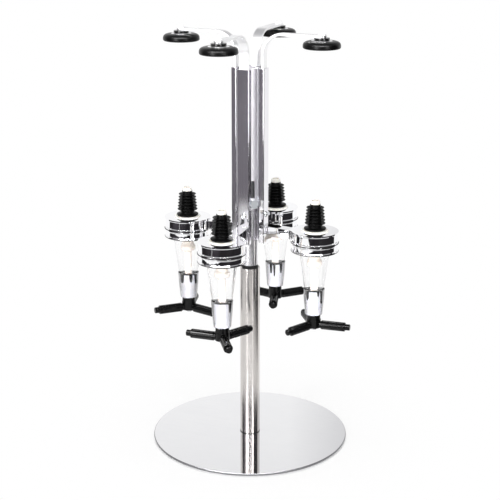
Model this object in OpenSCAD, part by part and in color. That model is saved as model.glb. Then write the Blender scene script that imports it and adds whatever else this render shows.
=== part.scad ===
// Rotary liquor dispenser: four upturned bottles on a turning column, each over a push-up measure.
// Millimetres. +Z is up and the origin is the centre of the underside.
// Station 1 is on +X, and stations 2 to 4 follow counter-clockwise seen from above.

/* [Base] */
// Diameter of the polished base plate
base_d = 250; // [200:1:320]
// Thickness of the base plate
base_t = 3; // [2.5:0.1:6]
// Chamfer on the edges of the base plate
base_edge = 0.6; // [0.2:0.1:1]
// Thickness of the non-slip sheet under the base plate
mat_t = 1.5; // [1:0.1:4]
// How far the non-slip sheet stays inside the edge of the base plate
mat_inset = 6; // [2:0.5:20]

/* [Pole] */
// Diameter of the pole
pole_d = 25; // [24:0.1:34]
// Wall of the pole
pole_wall = 1.5; // [1:0.1:2]
// Length of the pole above the base plate
pole_len = 224.5; // [200:0.5:320]
// Length of the threaded plug in the foot of the pole
foot_len = 22; // [18:0.5:40]
// Diameter of the screws through the base plate
base_screw_d = 5; // [4:0.1:5.5]
// Diameter of the circle that the base screws sit on
base_screw_circle = 12; // [11:0.1:13.5]
// Length of the base screws in the plug
base_screw_len = 14; // [8:0.5:17]
// Number of base screws
base_screws_n = 3; // [2:1:3]

/* [Spindle] */
// Length of the spindle's root inside the pole
root_len = 30; // [20:0.5:60]
// Distance from the top of the spindle to the top of the column
spindle_short = 10; // [4:0.5:60]
// Width of the groove that holds the retaining bolt
groove_w = 7; // [6:0.1:10]
// Depth of the groove
groove_depth = 2; // [1.5:0.1:3]
// Thickness of the bearing washer between pole and column
washer_t = 4; // [2:0.1:8]

/* [Column] */
// Diameter of the round core of the column
core_d = 20; // [19:0.1:21]
// Bore of the core, in which the spindle turns
core_bore = 16; // [14:0.1:17]
// Length of the column
column_len = 247; // [230:0.5:330]
// Length of bare core below the four channels
skirt_len = 31; // [24:0.5:36]
// Radius at which the middle of each arm slides
slide_r = 18; // [17.6:0.1:22]
// Wall of the channels
channel_wall = 1.7; // [1.2:0.1:2]
// Radius of the channels' corners
channel_corner_r = 1.2; // [0.4:0.1:1.6]
// Thickness of the ribs between core and channels
rib_t = 3; // [2:0.1:6]
// Height of the retaining bolt above the foot of the column
bolt_lift = 80; // [60:0.5:120]
// Diameter of the retaining bolt
bolt_d = 6; // [5:0.1:6]
// Width of the bolt's hexagon across its flats
bolt_af = 10; // [8.5:0.1:10.5]
// Height of the bolt's head
bolt_head_t = 4; // [3:0.1:5]
// Width of the slot above the retaining bolt
slot_w = 5; // [3:0.1:6]
// Length of the slot
slot_len = 22; // [10:0.5:60]
// Distance from the retaining bolt to the foot of the slot
slot_lift = 7; // [6.5:0.1:20]

/* [Bracket] */
// Radius of the circle of bottle axes
station_r = 86; // [80:0.5:110]
// Height of the underside of the ring above the foot of the column
ring_lift = 39; // [34:0.5:48]
// Radius over the rims of the ring
ring_r = 29; // [28:0.1:34]
// How far the wall of the ring lies inside its rims
rim_step = 1; // [0.5:0.1:1.5]
// Height of each rim
rim_h = 1.6; // [1:0.1:2.5]
// Height of the ring
ring_h = 14; // [12:0.1:20]
// Radius of the bore of the ring
ring_bore_r = 23; // [22.8:0.1:24]
// Thickness of the plate on top of the ring
ring_top_t = 3; // [2:0.1:4]
// Radius of the hole in the plate on top of the ring
ring_hole_r = 16.5; // [15.5:0.1:17]
// Width of the neck between ring and column
neck_w = 14; // [10:0.1:15]
// Height of the neck at the ring
neck_h = 11; // [8:0.1:11.5]
// Rise of the neck's top from the ring to the column
neck_rise = 2; // [0:0.1:6]
// Depth of the web under the neck at the column
gusset_h = 12; // [6:0.1:14]
// Radius of the fillets between neck and ring
neck_fillet = 9; // [4:0.1:14]
// Length of the tongue inside the channel
tongue_len = 42; // [38:0.5:60]
// Diameter of the screw that holds the tongue
tongue_screw_d = 4; // [3:0.1:5]
// Diameter of that screw's head
tongue_head_d = 7.6; // [6.5:0.1:9]
// Height of that screw's head
tongue_head_t = 2.2; // [1.6:0.1:3]
// Distance from that screw to the top of the tongue
tongue_screw_drop = 6; // [5:0.1:8]

/* [Clamp ring] */
// Height of the clamp ring
clamp_h = 10.5; // [8:0.1:12]
// Gap between clamp ring and bracket ring
clamp_gap = 0.5; // [0.3:0.1:1.5]
// Height of the thread that enters the bracket ring
clamp_thread_h = 5; // [3:0.1:6]
// Wall of that thread
clamp_thread_wall = 2.4; // [1.6:0.1:2.8]

/* [Inlet] */
// Radius of the cream cap inside the ring
cap_r = 22.6; // [21.8:0.1:22.7]
// How far the cream cap stands above the ring
cap_proud = 1.5; // [0.5:0.1:3]
// Radius of the inlet tube
tube_r = 6; // [5:0.1:6.5]
// Radius of the inlet tube's bore
tube_bore_r = 4; // [2.5:0.1:4.2]
// How far the inlet tube stands above the stopper
tube_proud = 4.5; // [1:0.1:10]
// Height of the stopper
stopper_h = 32; // [32:0.5:45]
// Radius of the stopper's flange
flange_r = 13.5; // [13:0.1:15]
// Height of the stopper's flange
flange_h = 3; // [2:0.1:4]
// Number of ribs round the stopper
rib_n = 6; // [3:1:6]
// Distance from rib to rib
rib_pitch = 3.9; // [3.4:0.1:4]
// Radius of the lowest rib
rib_low_r = 12.6; // [11.5:0.1:12.8]
// Radius of the highest rib
rib_high_r = 10.8; // [10.4:0.1:11.4]
// Depth of the groove between ribs
rib_depth = 3.6; // [1.5:0.1:3.6]
// Rise of each rib from its root to its tip
rib_rise = 2.4; // [1:0.1:2.6]

/* [Chamber] */
// Radius of the chamber below the ring
chamber_r = 16.2; // [15:0.1:16.4]
// Radius of the chamber at its foot
chamber_foot_r = 9.6; // [9.4:0.1:11]
// Wall of the chamber
chamber_wall = 1.8; // [1.2:0.1:2.4]
// Length of the taper below the clamp ring
taper_len = 48.5; // [40:0.5:60]
// Height of the chamber's flange
chamber_flange_h = 4; // [3:0.1:4.5]
// Radius of the chamber's spigot in the nozzle
spigot_r = 8.9; // [8.7:0.1:9]
// Length of the chamber's spigot
spigot_len = 5; // [4:0.1:8]

/* [Nozzle] */
// Radius of the nozzle at its top
nozzle_top_r = 13.2; // [12.7:0.1:14]
// Radius of the nozzle at its foot
nozzle_foot_r = 9.8; // [9.6:0.1:11]
// Length of the nozzle
nozzle_len = 33.5; // [31:0.5:50]
// Radius of the guide for the lever at the foot of the nozzle
guide_r = 8.8; // [8.6:0.1:9]
// Depth of that guide
guide_depth = 13; // [12.6:0.1:16]
// Thickness of the wall that holds the outlet seat
seat_t = 4; // [3:0.1:6]

/* [Lever] */
// Travel of the lever from rest to fully pressed
lever_travel = 7; // [4:0.1:7.4]
// Radius of the lever's arms at their ends
lever_reach = 46.5; // [36:0.5:52]
// Length of the thinner stub at the end of each arm
stub_len = 6; // [3:0.1:10]
// Radius of the round arms
lever_arm_r = 5.7; // [5:0.1:5.8]
// Radius of the stubs
stub_r = 3.9; // [2.5:0.1:3.9]
// Radius of the lever's hub
hub_r = 9.1; // [9:0.1:12]
// Height of the lever's hub
hub_h = 10; // [9:0.1:11.3]
// Height of the arms' middle above the foot of the hub
lever_arm_lift = 3.4; // [3:0.1:4]
// How far the lever's sleeve stands inside the nozzle
sleeve_in = 3.2; // [3:0.1:5.5]
// Number of flutes along each arm
flute_n = 8; // [4:1:8]
// Radius of each flute
flute_r = 1.1; // [0.4:0.1:1.2]
// Turn of the lever at station 1, in degrees
lever_turn_1 = 6; // [0:1:119]
// Turn of the lever at station 2, in degrees
lever_turn_2 = 78; // [0:1:119]
// Turn of the lever at station 3, in degrees
lever_turn_3 = 45; // [0:1:119]
// Turn of the lever at station 4, in degrees
lever_turn_4 = 34; // [0:1:119]

/* [Plunger] */
// Radius of the spout
spout_r = 3.45; // [3:0.05:4]
// Radius of the spout's bore
spout_bore_r = 2.2; // [1.2:0.1:2.4]
// How far the spout stands below the lever's hub
spout_proud = 3.2; // [1:0.1:6]
// Radius of the stem inside the chamber
stem_r = 4.4; // [3.8:0.1:5.2]
// Radius of the plunger's cup
cup_r = 7.2; // [7:0.1:7.8]
// Radius of the bell at the foot of the cup
bell_r = 9.2; // [8.4:0.1:9.6]
// Height of the plunger's cup
cup_h = 28; // [24:0.5:30]
// Radius of the bore of the cup
cup_bore_r = 6.2; // [6:0.05:6.4]
// Thickness of the floor of the cup
cup_floor = 4; // [3:0.1:6]
// Thickness of the outlet valve's head
valve_t = 3; // [2:0.1:5]
// Radius of the outlet valve's head
valve_r = 5.6; // [5:0.1:6.4]

/* [Spring] */
// Thickness of the spring wire
wire_d = 0.9; // [0.6:0.05:1]
// Radius of the spring to the middle of its wire
coil_r = 5.2; // [4.8:0.05:5.4]
// Number of turns
coil_n = 8; // [5:1:9]

/* [Arm] */
// Width of the flat arm
arm_w = 12; // [10:0.1:12.6]
// Thickness of the flat arm
arm_t = 3; // [2:0.1:3.4]
// Clearance between arm and channel
slide_gap = 0.3; // [0.25:0.05:0.5]
// Height of the horizontal part of the arm above the column
arm_lift = 41.5; // [34:0.5:70]
// Radius of the bend to the middle of the arm
bend_r = 24; // [16:0.5:30]
// Radius at which the bottle pad hangs
pad_axis_r = 91; // [80:0.5:110]
// Travel of the arm from its lowest place
arm_travel = 130; // [40:1:135]

/* [Bottle pad] */
// Radius of the bottle pad
pad_r = 22.5; // [18:0.1:28]
// Height of the bottle pad
pad_h = 9; // [8:0.1:16]
// Radius of the boss on the bottle pad
pad_boss_r = 8.5; // [6.5:0.1:12]
// Height of the boss
pad_boss_h = 3.5; // [3:0.1:10]
// Diameter of the pad screw
pad_screw_d = 5; // [4:0.1:6]
// Diameter of the pad screw's head
pad_head_d = 10; // [8:0.1:11.5]
// Height of the pad screw's head
pad_head_t = 2.5; // [2:0.1:4]

/* [Clearances] */
// Clearance of the spindle in its bore
running_gap = 0.05; // [0.02:0.01:0.1]
// Clearance between pieces that are fixed together
fit_gap = 0.1; // [0.05:0.01:0.15]
// Clearance between pieces that slide past each other
move_gap = 0.3; // [0.25:0.05:0.5]

/* [Hidden] */
$fn = 64;
stations = [1, 2, 3, 4];
lever_turns = [lever_turn_1, lever_turn_2, lever_turn_3, lever_turn_4];
lever_arms = 3;

// Heights from the table up to the column
base_top = mat_t + base_t;
pole_top = base_top + pole_len;
column_foot = pole_top + washer_t;
column_top = column_foot + column_len;
channel_foot = column_foot + skirt_len;

// Pole and spindle
pole_bore = pole_d - 2 * pole_wall;
plug_d = pole_bore - 2 * fit_gap;
spindle_d = core_bore - 2 * running_gap;
spindle_top = column_top - spindle_short;
bolt_z = column_foot + bolt_lift;
bolt_angle = -45;
bolt_seat_r = core_d / 2 - 0.4;
bolt_tip_r = spindle_d / 2 - groove_depth + move_gap;
countersink_d = 2 * base_screw_d;

// Channels round the column
channel_w = arm_w + 2 * slide_gap + 2 * channel_wall;
channel_in = slide_r - arm_t / 2 - slide_gap - channel_wall;
channel_out = slide_r + arm_t / 2 + slide_gap + channel_wall;
pocket_w = arm_w + 2 * slide_gap;
pocket_t = arm_t + 2 * slide_gap;

// Bracket, from the underside of its ring
ring_z = column_foot + ring_lift;
ring_top = ring_z + ring_h;
ring_wall_r = ring_r - rim_step;
neck_top = ring_top - rim_h;
neck_root_r = channel_out + fit_gap;
neck_root_x = neck_root_r - station_r;
tongue_top = channel_foot + tongue_len;
tongue_screw_z = tongue_top - tongue_screw_drop;
notch_top = neck_top + neck_rise + fit_gap;
fillet_y = neck_w / 2 + neck_fillet;
fillet_x = sqrt(pow(ring_wall_r + neck_fillet, 2) - fillet_y * fillet_y);
fillet_end = asin(fillet_y / (ring_wall_r + neck_fillet));

// Clamp ring
clamp_top = ring_z - clamp_gap;
clamp_foot = clamp_top - clamp_h;
clamp_thread_r = ring_bore_r - fit_gap;
clamp_seat_r = clamp_thread_r - clamp_thread_wall;

// Chamber, cap and stopper
chamber_flange_r = clamp_seat_r - fit_gap;
chamber_flange_top = ring_z + chamber_flange_h;
clamp_thread_top = ring_z + clamp_thread_h;
cap_under = ring_top - ring_top_t;
cap_collar_r = ring_hole_r - fit_gap;
cap_top = ring_top + cap_proud;
stopper_top = cap_top + stopper_h;
tube_top = stopper_top + tube_proud;
top_rib_z = stopper_top - 1.1 * rib_pitch;
chamber_foot = clamp_foot - taper_len;
spigot_foot = chamber_foot - spigot_len;

// Nozzle
nozzle_top = chamber_foot - fit_gap;
nozzle_foot = nozzle_top - nozzle_len;
seat_top = spigot_foot - fit_gap;
seat_hole_r = spout_r + move_gap;
guide_top = nozzle_foot + guide_depth;
throat_r = seat_hole_r + 2;

// Lever and plunger at rest
lever_gap = 0.5;
hub_top = nozzle_foot - lever_travel - lever_gap;
hub_foot = hub_top - hub_h;
lever_arm_z = hub_foot + lever_arm_lift;
sleeve_r = guide_r - move_gap;
sleeve_top = nozzle_foot + sleeve_in;
spout_foot = hub_foot - spout_proud;
valve_foot = seat_top + move_gap;
valve_top = valve_foot + valve_t;
cup_top = chamber_flange_top - lever_travel - lever_gap;
cup_foot = cup_top - cup_h;
spring_foot = cup_foot + cup_floor + fit_gap;
spring_top = chamber_flange_top - fit_gap;

// Spring wire
ring_per_turn = 8;
wire_sides = 6;
coil_steps = coil_n * ring_per_turn;
coil_len = spring_top - spring_foot - wire_d;
coil_rise = coil_len / coil_n;
coil_space = coil_rise * cos(atan(coil_rise / (2 * PI * coil_r))) - wire_d;
echo(least_gap_between_spring_turns = coil_space);

// Arm and pad
arm_foot = tongue_top + move_gap;
arm_top_z = column_top + arm_lift;
arm_under = arm_top_z - arm_t / 2;
pad_top = arm_under - pad_boss_h;
pad_foot = pad_top - pad_h;
pad_edge_r = pad_h * 0.22;
pad_screw_depth = pad_boss_h + pad_h / 2;

// Points on an arc, as the outline of a rounded stretch
function arc(x, y, r, from, to, n = 8) =
    [for (i = [0:n]) let (a = from + (to - from) * i / n) [x + r * cos(a), y + r * sin(a)]];

// A tube about Z
module tube(r, bore_r, h) {
    difference() {
        cylinder(r = r, h = h);
        translate([0, 0, -1]) cylinder(r = bore_r, h = h + 2);
    }
}

// Turns its children to a station
module at_station(k) {
    rotate([0, 0, 90 * (k - 1)]) children();
}

// Puts its children on a station's bottle axis
module at_axis(k) {
    at_station(k) translate([station_r, 0, 0]) children();
}

// Puts its children at each base screw
module each_base_screw() {
    for (i = [0:base_screws_n - 1]) {
        rotate([0, 0, 360 * i / base_screws_n]) translate([base_screw_circle / 2, 0, 0]) children();
    }
}

// A wall with a rim at its top and bottom, as a revolved outline down to a bore
module rimmed_ring(r, bore_r, h) {
    wall_r = r - rim_step;
    rotate_extrude() polygon([
        [bore_r, 0],
        [r, 0],
        [r, rim_h],
        [wall_r, rim_h + rim_step],
        [wall_r, h - rim_h - rim_step],
        [r, h - rim_h],
        [r, h],
        [bore_r, h]
    ]);
}

module base_mat() {
    color([0.08, 0.08, 0.08]) cylinder(d = base_d - 2 * mat_inset, h = mat_t);
}

module base_plate() {
    color([0.86, 0.87, 0.88]) translate([0, 0, mat_t]) difference() {
        rotate_extrude() polygon([
            [0, 0],
            [base_d / 2 - base_edge, 0],
            [base_d / 2, base_edge],
            [base_d / 2, base_t - base_edge],
            [base_d / 2 - base_edge, base_t],
            [0, base_t]
        ]);
        each_base_screw() translate([0, 0, -1]) cylinder(d = base_screw_d + 2 * fit_gap, h = base_t + 2);
        each_base_screw() base_screw_cone(fit_gap);
    }
}

// The countersunk head of a base screw, grown by a clearance
module base_screw_cone(gap) {
    cone_h = (countersink_d - base_screw_d) / 2;
    cylinder(d1 = countersink_d + 2 * gap, d2 = base_screw_d + 2 * gap, h = cone_h);
}

module base_screws() {
    color([0.55, 0.56, 0.58]) translate([0, 0, mat_t]) each_base_screw() union() {
        base_screw_cone(0);
        cylinder(d = base_screw_d, h = base_t + base_screw_len);
    }
}

module pole() {
    color([0.80, 0.80, 0.80]) translate([0, 0, base_top]) tube(pole_d / 2, pole_bore / 2, pole_len);
}

module pole_foot() {
    hole_len = base_screw_len + 2;
    color([0.50, 0.51, 0.53]) translate([0, 0, base_top]) difference() {
        cylinder(d = plug_d, h = foot_len);
        each_base_screw() translate([0, 0, -1]) cylinder(d = base_screw_d + 2 * fit_gap, h = hole_len);
    }
}

module spindle() {
    color([0.62, 0.63, 0.65]) difference() {
        union() {
            translate([0, 0, pole_top - root_len]) cylinder(d = plug_d, h = root_len);
            translate([0, 0, pole_top - 1]) cylinder(d = spindle_d, h = spindle_top - pole_top + 1);
        }
        translate([0, 0, bolt_z - groove_w / 2]) tube(spindle_d, spindle_d / 2 - groove_depth, groove_w);
    }
}

module bearing_washer() {
    color([0.05, 0.05, 0.05]) translate([0, 0, pole_top])
        tube(core_d / 2, core_bore / 2 + fit_gap, washer_t);
}

// One channel in plan, with rounded corners
module channel_plan() {
    r = channel_corner_r;
    depth = channel_out - channel_in;
    translate([channel_in, -channel_w / 2]) {
        translate([r, 0]) square([depth - 2 * r, channel_w]);
        translate([0, r]) square([depth, channel_w - 2 * r]);
        for (x = [r, depth - r], y = [r, channel_w - r]) translate([x, y]) circle(r = r);
    }
}

// The core and its four channels in plan
module column_plan() {
    difference() {
        union() {
            circle(d = core_d);
            for (k = stations) at_station(k) {
                translate([0, -rib_t / 2]) square([channel_in + 1, rib_t]);
                channel_plan();
            }
        }
        circle(d = core_bore);
        for (k = stations) at_station(k)
            translate([slide_r - pocket_t / 2, -pocket_w / 2]) square([pocket_t, pocket_w]);
    }
}

module column() {
    color([0.72, 0.72, 0.74]) difference() {
        union() {
            translate([0, 0, column_foot]) tube(core_d / 2, core_bore / 2, skirt_len + 1);
            translate([0, 0, channel_foot]) linear_extrude(column_top - channel_foot) column_plan();
        }
        for (k = stations) at_station(k) {
            translate([slide_r, -pocket_w / 2, channel_foot - 1])
                cube([channel_out - slide_r + 1, pocket_w, notch_top - channel_foot + 1]);
            translate([slide_r, 0, tongue_screw_z]) rotate([0, 90, 0])
                cylinder(d = tongue_screw_d + 2 * fit_gap, h = channel_out);
        }
        rotate([0, 0, bolt_angle]) {
            translate([0, 0, bolt_z]) rotate([0, 90, 0]) cylinder(d = bolt_d + 2 * fit_gap, h = core_d);
            translate([bolt_seat_r, -core_d / 2, bolt_z - bolt_af / 2 - 1])
                cube([core_d, core_d, bolt_af + 2]);
            translate([0, -slot_w / 2, bolt_z + slot_lift]) cube([core_d, slot_w, slot_len]);
        }
    }
}

module retaining_bolt() {
    tip_d = min(bolt_d, groove_w - 2 * move_gap) - 1;
    color([0.70, 0.74, 0.78]) translate([0, 0, bolt_z]) rotate([0, 0, bolt_angle]) rotate([0, 90, 0]) {
        translate([0, 0, bolt_tip_r]) cylinder(d = tip_d, h = bolt_seat_r - bolt_tip_r);
        translate([0, 0, core_bore / 2]) cylinder(d = bolt_d, h = bolt_seat_r - core_bore / 2 + 1);
        translate([0, 0, bolt_seat_r]) rotate([0, 0, 30])
            cylinder(d = bolt_af / cos(30), h = bolt_head_t, $fn = 6);
    }
}

module bracket_screws() {
    shank_from = slide_r - arm_t / 2;
    shank_len = channel_out - shank_from + 1;
    color([0.75, 0.76, 0.78]) for (k = stations) at_station(k)
        translate([0, 0, tongue_screw_z]) rotate([0, 90, 0]) difference() {
            union() {
                translate([0, 0, shank_from]) cylinder(d = tongue_screw_d, h = shank_len);
                translate([0, 0, channel_out]) pan_head(tongue_head_d, tongue_head_t);
            }
            translate([0, 0, channel_out + tongue_head_t / 2]) cross_recess(tongue_head_d, tongue_head_t);
        }
}

// A low round screw head
module pan_head(d, h) {
    flat_r = d / 2 - h * 0.6;
    rotate_extrude() polygon([[0, 0], [d / 2, 0], [d / 2, h * 0.4], [flat_r, h], [0, h]]);
}

// A cross cut in a screw head
module cross_recess(d, h) {
    for (a = [0, 90]) rotate([0, 0, a]) translate([-d / 4, -d / 14, 0]) cube([d / 2, d / 7, h]);
}

// The plan of the flare where the neck runs into the ring, with the bottle axis at the origin
module neck_flare() {
    near = arc(-fillet_x, fillet_y, neck_fillet, -90, -fillet_end);
    far = arc(-fillet_x, -fillet_y, neck_fillet, fillet_end, 90);
    inner_x = -ring_bore_r - 1;
    polygon(concat(near, [[inner_x, 0]], far));
}

// The neck in side view, from the column to the ring, with the bottle axis at the origin
module neck_side() {
    ring_side = -ring_bore_r - 1;
    polygon([
        [neck_root_x, neck_top + neck_rise],
        [-fillet_x, neck_top],
        [ring_side, neck_top],
        [ring_side, neck_top - neck_h],
        [-fillet_x, neck_top - neck_h],
        [neck_root_x + gusset_h, neck_top - neck_h],
        [neck_root_x + gusset_h * 0.3, neck_top - neck_h - gusset_h * 0.35],
        [neck_root_x, neck_top - neck_h - gusset_h]
    ]);
}

module bracket(k) {
    tongue_x = slide_r - arm_t / 2 - station_r;
    color([0.83, 0.83, 0.85]) at_axis(k) difference() {
        union() {
            translate([0, 0, ring_z]) rimmed_ring(ring_r, ring_bore_r, ring_h);
            translate([0, 0, ring_top - ring_top_t]) tube(ring_wall_r, ring_hole_r, ring_top_t);
            translate([0, 0, neck_top - neck_h]) linear_extrude(neck_h) neck_flare();
            rotate([90, 0, 0]) translate([0, 0, -neck_w / 2]) linear_extrude(neck_w) neck_side();
            translate([tongue_x, -arm_w / 2, channel_foot]) cube([arm_t, arm_w, tongue_len]);
            translate([tongue_x, -arm_w / 2, channel_foot])
                cube([neck_root_x - tongue_x + 1, arm_w, neck_top + neck_rise - channel_foot]);
        }
        translate([tongue_x - 1, 0, tongue_screw_z]) rotate([0, 90, 0])
            cylinder(d = tongue_screw_d + 2 * fit_gap, h = arm_t + 2);
    }
}

module clamp_ring(k) {
    chamber_hole_r = chamber_r + fit_gap;
    color([0.83, 0.83, 0.85]) at_axis(k) union() {
        translate([0, 0, clamp_foot]) rimmed_ring(ring_r, chamber_hole_r, clamp_h);
        translate([0, 0, clamp_top - 1]) tube(clamp_thread_r, chamber_hole_r, 1 + clamp_gap);
        translate([0, 0, clamp_top]) tube(clamp_thread_r, clamp_seat_r, clamp_thread_top - clamp_top);
    }
}

module inlet_cap(k) {
    lip = cap_proud * 0.6;
    color([0.97, 0.94, 0.87]) at_axis(k) rotate_extrude() polygon([
        [tube_bore_r, chamber_flange_top],
        [chamber_flange_r, chamber_flange_top],
        [chamber_flange_r, clamp_thread_top + fit_gap],
        [cap_r, clamp_thread_top + fit_gap],
        [cap_r, cap_under],
        [cap_collar_r, cap_under],
        [cap_collar_r, cap_top - lip],
        [cap_collar_r - lip, cap_top],
        [tube_r, cap_top],
        [tube_r, tube_top - 1],
        [tube_r - 1, tube_top],
        [tube_bore_r, tube_top]
    ]);
}

module stopper(k) {
    low_z = top_rib_z - (rib_n - 1) * rib_pitch;
    edge = 0.25;
    slope = (rib_low_r - rib_high_r) / (rib_n - 1);
    ribs = [for (i = [0:rib_n - 1]) let (r = rib_low_r - slope * i, z = low_z + rib_pitch * i) each [
        [r - rib_depth, z - rib_rise - 0.6],
        [r, z - edge],
        [r, z + edge],
        [r - rib_depth, z - rib_rise + 1.5]
    ]];
    color([0.06, 0.06, 0.07]) at_axis(k) rotate_extrude() polygon(concat(
        [[tube_r + fit_gap, cap_top], [flange_r - 1, cap_top], [flange_r, cap_top + 1]],
        [[flange_r, cap_top + flange_h - 0.8], [rib_low_r - rib_depth, cap_top + flange_h]],
        ribs,
        [[rib_high_r - rib_depth, stopper_top], [tube_r + fit_gap, stopper_top]]
    ));
}

module chamber(k) {
    inner_r = chamber_r - chamber_wall;
    spigot_bore_r = spigot_r - chamber_wall;
    color([0.90, 0.92, 0.95, 0.35]) at_axis(k) rotate_extrude() polygon([
        [inner_r, chamber_flange_top],
        [inner_r, clamp_foot],
        [spigot_bore_r, chamber_foot],
        [spigot_bore_r, spigot_foot],
        [spigot_r, spigot_foot],
        [spigot_r, chamber_foot],
        [chamber_foot_r, chamber_foot],
        [chamber_r, clamp_foot],
        [chamber_r, ring_z],
        [chamber_flange_r, ring_z],
        [chamber_flange_r, chamber_flange_top]
    ]);
}

module nozzle(k) {
    socket_r = spigot_r + fit_gap;
    lip = 0.6;
    shoulder_z = nozzle_top - nozzle_len * 0.45;
    shoulder_r = nozzle_top_r - (nozzle_top_r - nozzle_foot_r) * 0.25;
    color([0.90, 0.92, 0.95, 0.35]) at_axis(k) rotate_extrude() polygon([
        [socket_r, nozzle_top],
        [nozzle_top_r - lip, nozzle_top],
        [nozzle_top_r, nozzle_top - lip],
        [shoulder_r, shoulder_z],
        [nozzle_foot_r, nozzle_foot],
        [guide_r, nozzle_foot],
        [guide_r, guide_top],
        [throat_r, seat_top - seat_t],
        [seat_hole_r, seat_top - seat_t],
        [seat_hole_r, seat_top],
        [socket_r, seat_top]
    ]);
}

// One round arm of a lever along +X, with a neck at the hub, flutes and a thinner stub
module lever_arm() {
    arm_end = lever_reach - stub_len;
    root = hub_r - 3;
    neck_end = hub_r + 1;
    neck_r = lever_arm_r - 1.2;
    edge = 0.6;
    difference() {
        rotate([0, 90, 0]) rotate_extrude() polygon([
            [0, root],
            [neck_r, root],
            [neck_r, neck_end],
            [lever_arm_r - edge, neck_end],
            [lever_arm_r, neck_end + edge],
            [lever_arm_r, arm_end - edge],
            [lever_arm_r - edge, arm_end],
            [stub_r, arm_end],
            [stub_r, lever_reach - edge],
            [stub_r - edge, lever_reach],
            [0, lever_reach]
        ]);
        for (i = [0:flute_n - 1]) rotate([360 * (i + 0.5) / flute_n, 0, 0])
            translate([neck_end + 2, 0, lever_arm_r + flute_r * 0.5]) rotate([0, 90, 0])
                cylinder(r = flute_r, h = arm_end - neck_end - 4);
    }
}

module lever(k) {
    bore_r = spout_r + fit_gap;
    color([0.05, 0.05, 0.05]) at_axis(k) difference() {
        union() {
            translate([0, 0, hub_foot]) cylinder(r = hub_r, h = hub_h);
            translate([0, 0, hub_top - 1]) cylinder(r = sleeve_r, h = sleeve_top - hub_top + 1);
            for (i = [0:lever_arms - 1])
                rotate([0, 0, lever_turns[k - 1] + 360 * i / lever_arms])
                    translate([0, 0, lever_arm_z]) lever_arm();
        }
        translate([0, 0, hub_foot - 1]) cylinder(r = bore_r, h = sleeve_top - hub_foot + 2);
    }
}

module plunger(k) {
    side_hole_z = seat_top - seat_t / 2;
    color([0.95, 0.90, 0.84]) at_axis(k) difference() {
        rotate_extrude() polygon([
            [0, spout_foot],
            [spout_r, spout_foot],
            [spout_r, valve_foot],
            [valve_r, valve_foot],
            [valve_r, valve_top],
            [stem_r, valve_top],
            [stem_r, cup_foot],
            [bell_r - 1.2, cup_foot + 2],
            [bell_r, cup_foot + 3.2],
            [bell_r, cup_foot + 7],
            [cup_r, cup_foot + 10],
            [cup_r, cup_top],
            [cup_bore_r, cup_top],
            [cup_bore_r, cup_foot + cup_floor],
            [0, cup_foot + cup_floor]
        ]);
        translate([0, 0, spout_foot - 1])
            cylinder(r = spout_bore_r, h = side_hole_z - spout_foot + 1 + spout_bore_r);
        translate([-spout_r - 1, 0, side_hole_z]) rotate([0, 90, 0])
            cylinder(r = spout_bore_r * 0.6, h = 2 * spout_r + 2);
    }
}

// The ring of wire points at one step along the coil
function wire_ring(step) =
    let (turn = 360 * step / ring_per_turn, z = spring_foot + wire_d / 2 + coil_rise * step / ring_per_turn)
    [for (i = [0:wire_sides - 1])
        let (a = 360 * i / wire_sides, r = coil_r + wire_d / 2 * cos(a))
        [r * cos(turn), r * sin(turn), z + wire_d / 2 * sin(a)]];

module return_spring(k) {
    points = [for (s = [0:coil_steps]) each wire_ring(s)];
    last = coil_steps * wire_sides;
    sides = [for (s = [0:coil_steps - 1], i = [0:wire_sides - 1])
        let (j = (i + 1) % wire_sides, a = s * wire_sides, b = a + wire_sides)
        each [[a + i, b + i, b + j], [a + i, b + j, a + j]]];
    ends = [for (i = [1:wire_sides - 2]) each [[0, i, i + 1], [last, last + i + 1, last + i]]];
    color([0.72, 0.73, 0.75]) at_axis(k) polyhedron(points = points, faces = concat(sides, ends));
}

module arm(k) {
    bend_z = arm_top_z - bend_r;
    color([0.80, 0.81, 0.83]) at_station(k) difference() {
        union() {
            translate([slide_r - arm_t / 2, -arm_w / 2, arm_foot]) cube([arm_t, arm_w, bend_z - arm_foot]);
            translate([slide_r + bend_r, arm_w / 2, bend_z]) rotate([90, 0, 0]) linear_extrude(arm_w)
                intersection() {
                    difference() {
                        circle(r = bend_r + arm_t / 2);
                        circle(r = bend_r - arm_t / 2);
                    }
                    translate([-2 * bend_r, 0]) square(2 * bend_r);
                }
            translate([0, 0, arm_under]) linear_extrude(arm_t) union() {
                translate([slide_r + bend_r, -arm_w / 2]) square([pad_axis_r - slide_r - bend_r, arm_w]);
                translate([pad_axis_r, 0]) circle(d = arm_w);
            }
        }
        translate([pad_axis_r, 0, arm_under - 1]) cylinder(d = pad_screw_d + 2 * fit_gap, h = arm_t + 2);
    }
}

module bottle_pad(k) {
    crown = arc(pad_boss_r + 2, pad_foot + pad_edge_r, pad_r - pad_boss_r - 2, 0, 90);
    squash = (pad_h - pad_edge_r) / (pad_r - pad_boss_r - 2);
    dome = [for (p = crown) [p[0], pad_foot + pad_edge_r + (p[1] - pad_foot - pad_edge_r) * squash]];
    under = arc(pad_r - pad_edge_r, pad_foot + pad_edge_r, pad_edge_r, -90, -15, 4);
    color([0.04, 0.04, 0.04]) at_station(k) translate([pad_axis_r, 0, 0]) difference() {
        rotate_extrude() polygon(concat(
            [[0, pad_foot + 1], [pad_r - 2 * pad_edge_r, pad_foot + 1]],
            [[pad_r - 1.6 * pad_edge_r, pad_foot]],
            under,
            dome,
            [[pad_boss_r, pad_top], [pad_boss_r, arm_under], [0, arm_under]]
        ));
        translate([0, 0, arm_under - pad_screw_depth - 1])
            cylinder(d = pad_screw_d + 2 * fit_gap, h = pad_screw_depth + 2);
    }
}

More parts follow.
